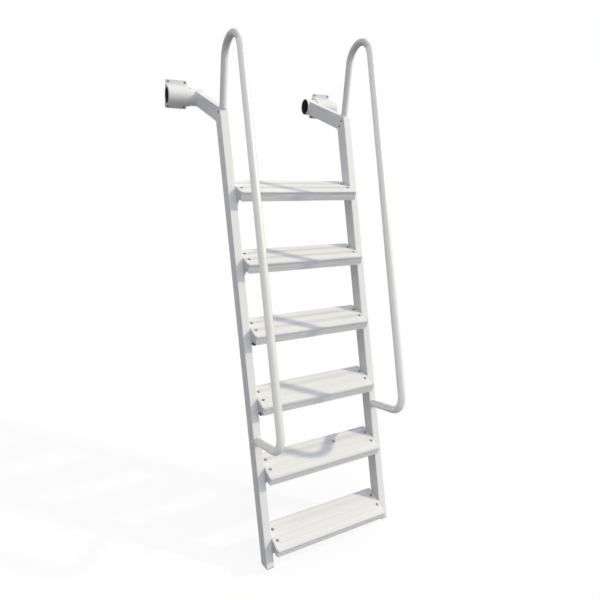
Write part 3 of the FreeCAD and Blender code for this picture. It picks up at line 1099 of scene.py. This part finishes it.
@dataclass
class PivotWork:
    """Dark liner, screw and weld of one pivot tube; the liner's black is painted shade inside the
    bore.
    """

    finishes: Finishes
    hand: Hand
    bore: float = 0.0359
    liner_wall: float = 0.0012
    liner_in: float = 0.0015
    liner_clear: float = 0.0001
    screw_gap: float = 0.0225
    top_screw: DomedRivet = DomedRivet(0.0042, 0.0026, 0.0016)
    weld: float = 0.0021
    weld_step: float = 0.0031
    weld_shape: Triple = (1.15, 1.05, 1.0)
    weld_swell: float = 0.09
    weld_wave: float = 2.4
    weld_smooth: float = 80.0
    arc_steps: int = 24

    @property
    def tube(self) -> tuple[Vector, Vector]:
        """Lowest and highest corner of the tube."""
        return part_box("pivot_tube_" + self.hand.word)

    @property
    def arm(self) -> tuple[Vector, Vector]:
        """Lowest and highest corner of the arm."""
        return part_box("arm_" + self.hand.word)

    @property
    def axis(self) -> Vector:
        """A point on the tube's axis."""
        low, high = self.tube
        return (low + high) / 2

    @property
    def radius(self) -> float:
        """Outer radius of the tube."""
        low, high = self.tube
        return (high.z - low.z) / 2

    def liner(self) -> None:
        """Line the tube's bore with a thin black liner, which paints the shade inside the bore."""
        low, high = self.tube
        start, stop = low.x + self.liner_in, high.x - self.liner_in
        outer = self.bore - self.liner_clear
        inner = outer - self.liner_wall
        length = stop - start
        build = Build()
        place = facing(Vector((start, self.axis.y, self.axis.z)), Vector((1.0, 0.0, 0.0)))
        build.lathe([(inner, 0.0), (outer, 0.0), (outer, length), (inner, length),
                     (inner, 0.0)], place, 48)
        build.finish("tube_shade_liner_" + self.hand.word, LADDER, Slot.CAP, [self.finishes.bore_shade])

    def screw(self) -> None:
        """Set the small screw on top of the tube beside the bracket."""
        low, high = self.arm
        outer = low.x if self.hand is Hand.LEFT else high.x
        spot = Vector((outer + self.hand.value * self.screw_gap, self.axis.y,
                       self.axis.z + self.radius))
        build = Build()
        self.top_screw.set_in(build, facing(spot, UP))
        build.finish("tube_screw_" + self.hand.word, LADDER, Slot.PLATE,
                     [self.finishes.black, self.finishes.black])

    def seam(self) -> list[Vector]:
        """Points round the joint of arm and tube.

        Returns:
            Evenly spaced points of the weld's closed line.
        """
        low, high = self.arm
        axis, radius, steps = self.axis, self.radius, self.arc_steps
        sweep = math.asin((high.z - low.z) / 2 / radius)
        corners: list[Vector] = []
        for across, order in ((low.x, range(steps + 1)), (high.x, range(steps, -1, -1))):
            for step in order:
                angle = -sweep + 2 * sweep * step / steps
                corners.append(Vector((across, axis.y - radius * math.cos(angle),
                                       axis.z + radius * math.sin(angle))))
        corners.append(corners[0])
        points = []
        carry = 0.0
        for start, stop in zip(corners, corners[1:]):
            run = (stop - start).length
            while carry < run:
                points.append(start.lerp(stop, carry / run))
                carry += self.weld_step
            carry -= run
        return points

    def bead(self) -> None:
        """Lay the weld's ripples round the joint."""
        build = Build()
        points = self.seam()
        for index, point in enumerate(points):
            after = points[(index + 1) % len(points)]
            swell = 1.0 + self.weld_swell * math.sin(index * self.weld_wave)
            size = Vector(self.weld_shape) * self.weld * swell
            build.drop(size, facing(point, after - point))
        build.finish("arm_weld_" + self.hand.word, LADDER, Slot.STILE,
                     [self.finishes.stile], self.weld_smooth)

    def make(self) -> None:
        """Make every piece of the pivot."""
        self.liner()
        self.screw()
        self.bead()


@dataclass
class BracketWork:
    """Dark rings with a closed floor in the four holes of one dock bracket's plate."""

    finishes: Finishes
    hand: Hand
    hole_in: Span = (0.012, 0.0085)
    hole: float = 0.0035
    plate: float = 0.006
    rim: float = 0.0004
    proud: float = 0.0009
    wall: float = 0.0008
    rolled: float = 0.0005
    well: float = 0.0028
    depth: float = 0.004

    def make(self) -> None:
        """Set a dark ring with a closed floor in each hole from the front."""
        low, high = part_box("bracket_" + self.hand.word)
        build = Build()
        for across in (low.x + self.hole_in[0], high.x - self.hole_in[0]):
            for height in (low.z + self.hole_in[1], high.z - self.hole_in[1]):
                place = facing(Vector((across, high.y - self.plate, height)),
                               Vector((0.0, -1.0, 0.0)))
                inner, outer = self.hole - self.wall, self.hole + self.rim
                build.lathe([(0.0, -self.well), (inner, -self.well), (inner, self.proud * 0.7),
                             (inner + self.rolled, self.proud), (outer, self.proud * 0.6),
                             (outer, 0.0), (self.hole, 0.0), (self.hole, -self.depth),
                             (0.0, -self.depth)], place, 24)
        build.finish("plate_hole_rings_" + self.hand.word, BRACKETS, Slot.CAP,
                     [self.finishes.washer])


# Studio


@dataclass
class Studio:
    """Pale floor, soft light and the camera of the picture."""

    eye: Vector = field(default_factory=lambda: Vector((-0.6122, -2.4345, 0.3980)))
    azimuth: float = 31.34
    elevation: float = -29.81
    roll: float = 10.15
    focus: float = 486.1
    frame_width: float = 600.0
    sensor: float = 36.0
    far_clip: float = 200.0
    sun_way: Vector = field(default_factory=lambda: Vector((-1.20, 0.28, -1.0)))
    sun_colour: Colour = (1.0, 0.94, 0.745)
    sun_power: float = 2.06
    sun_soft: float = 2.6
    sky_colour: Colour = (0.980, 1.0, 1.11)
    sky_power: float = 0.665
    sky_bright: Vector = field(default_factory=lambda: Vector((0.74, -0.62, 0.18)))
    sky_slope: float = 0.56
    floor_grey: float = 0.09
    floor_bounce: float = 0.045
    floor_half: float = 40.0
    floor_drop: float = 0.0015
    level_share: float = 2 / 3

    def camera(self) -> None:
        """Make the camera at the photograph's viewing angle."""
        side, rise = math.radians(self.azimuth), math.radians(self.elevation)
        tilt = math.radians(self.roll)
        ahead = Vector((math.sin(side) * math.cos(rise), math.cos(side) * math.cos(rise),
                        math.sin(rise)))
        right = Vector((math.cos(side), -math.sin(side), 0.0))
        up = right.cross(ahead)
        turned_right = right * math.cos(tilt) + up * math.sin(tilt)
        turned_up = up * math.cos(tilt) - right * math.sin(tilt)
        data = bpy.data.cameras.new("camera")
        data.sensor_width = self.sensor
        data.lens = self.focus / self.frame_width * self.sensor
        data.clip_end = self.far_clip
        camera = bpy.data.objects.new("camera", data)
        axes = Matrix((turned_right, turned_up, -ahead)).transposed()
        camera.matrix_world = Matrix.Translation(self.eye) @ axes.to_4x4()
        bpy.context.scene.collection.objects.link(camera)
        bpy.context.scene.camera = camera

    def lamp(self) -> None:
        """Make the one soft key light, from the upper right."""
        data = bpy.data.lights.new("key", "SUN")
        data.energy = self.sun_power
        data.angle = math.radians(self.sun_soft)
        data.color = self.sun_colour
        lamp = bpy.data.objects.new("key", data)
        lamp.rotation_euler = self.sun_way.to_track_quat("-Z", "Y").to_euler()
        bpy.context.scene.collection.objects.link(lamp)

    def sky(self) -> None:
        """Light softly from all round, most from the front right, and show white behind."""
        world = bpy.data.worlds.new("sky")
        bpy.context.scene.world = world
        nodes = Nodes(world)
        nodes.tree.nodes.clear()
        side = nodes.add("VectorMath", operation="DOT_PRODUCT")
        side.inputs[1].default_value = self.sky_bright.normalized()
        nodes.link(nodes.add("TexCoord").outputs["Generated"], side.inputs[0])
        slope = nodes.times(side.outputs["Value"], self.sky_power * self.sky_slope)
        light = nodes.add("Background", Color=(*self.sky_colour, 1.0))
        nodes.link(nodes.math("ADD", slope, self.sky_power), light.inputs["Strength"])
        white = nodes.add("Background", Color=WHITE)
        mix = nodes.add("MixShader")
        nodes.link(nodes.seen(), mix.inputs["Fac"])
        nodes.link(light.outputs["Background"], mix.inputs[1])
        nodes.link(white.outputs["Background"], mix.inputs[2])
        nodes.link(mix.outputs["Shader"], nodes.add("OutputWorld").inputs["Surface"])

    def floor_light(self) -> float:
        """Work out the light that reaches the open floor.

        Returns:
            The sky's and the sun's light on a level surface.
        """
        slope = abs(self.sun_way.normalized().z)
        lean = self.sky_slope * self.sky_bright.normalized().z * self.level_share
        return self.sky_power * (1.0 + lean) + self.sun_power * slope / math.pi

    def floor(self) -> None:
        """Lay a plain white floor that keeps a soft shadow."""
        build = bmesh.new()
        bmesh.ops.create_grid(build, x_segments=1, y_segments=1, size=self.floor_half)
        height = CAD_BOX[0].z - self.floor_drop
        bmesh.ops.translate(build, verts=build.verts, vec=(0.0, 0.0, height))
        data = bpy.data.meshes.new("floor")
        build.to_mesh(data)
        build.free()
        material = bpy.data.materials.new("floor_white")
        nodes = Nodes(material)
        nodes.tree.nodes.clear()
        matt = nodes.add("BsdfDiffuse", Color=(*(self.floor_grey,) * 3, 1.0))
        share = nodes.add("MapRange", To_Min=self.floor_bounce,
                          To_Max=1.0 - self.floor_grey * self.floor_light())
        nodes.link(nodes.seen(), share.inputs["Value"])
        glow = nodes.add("Emission", Color=WHITE)
        nodes.link(share.outputs["Result"], glow.inputs["Strength"])
        both = nodes.add("AddShader")
        nodes.link(matt.outputs["BSDF"], both.inputs[0])
        nodes.link(glow.outputs["Emission"], both.inputs[1])
        nodes.link(both.outputs["Shader"], nodes.add("OutputMaterial").inputs["Surface"])
        data.materials.append(material)
        floor = bpy.data.objects.new("floor", data)
        bpy.context.scene.collection.objects.link(floor)

    def make(self) -> None:
        """Make the whole studio."""
        self.camera()
        self.lamp()
        self.sky()
        self.floor()
        bpy.context.scene.view_settings.view_transform = "Standard"


def dress_nodes(ladder: Ladder, finishes: Finishes) -> None:
    """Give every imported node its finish.

    Args:
        ladder: The ladder's leading sizes.
        finishes: The shared finishes.
    """
    for hand in Hand:
        finishes.dress("stile_" + hand.word, finishes.stile)
        finishes.dress("arm_" + hand.word, finishes.stile)
        finishes.dress("foot_cap_" + hand.word, finishes.cap)
        rail = CoatedMetal("rail_coat_" + hand.word, roughness=0.38)
        joint = ladder.crook_joint[hand] + ladder.origin.dot(ladder.along)
        hub = ladder.crook_hub + ladder.origin.dot(ladder.inward)
        finishes.dress("handrail_" + hand.word, RailCoat(rail, ladder.lean, joint, hub).make())
        finishes.dress("bracket_" + hand.word, finishes.bracket)
        finishes.dress("pivot_tube_" + hand.word, finishes.tube)
        for number in TREADS:
            finishes.dress("tread_bracket_%s_%d" % (hand.word, number), finishes.plate)
    for look in TREAD_LOOKS:
        low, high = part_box("tread_%d" % look.number)
        coat = CoatedMetal("tread_coat_%d" % look.number, (0.81, 0.81, 0.795), 0.44)
        finishes.dress("tread_%d" % look.number, RibbedCoat(coat, look, low.y, high.z).make())
    LOG.info("dressed %d packed nodes", len(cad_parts))


def main() -> None:
    """Build the scene."""
    logging.basicConfig(level=logging.INFO)
    finishes = Finishes()
    ladder = Ladder()
    dress_nodes(ladder, finishes)
    for number in TREADS:
        TreadWork(finishes, number).make()
    for hand in Hand:
        StileWork(ladder, finishes, hand).make()
        PivotWork(finishes, hand).make()
        BracketWork(finishes, hand).make()
    Studio().make()


if __name__ == "__main__":
    main()
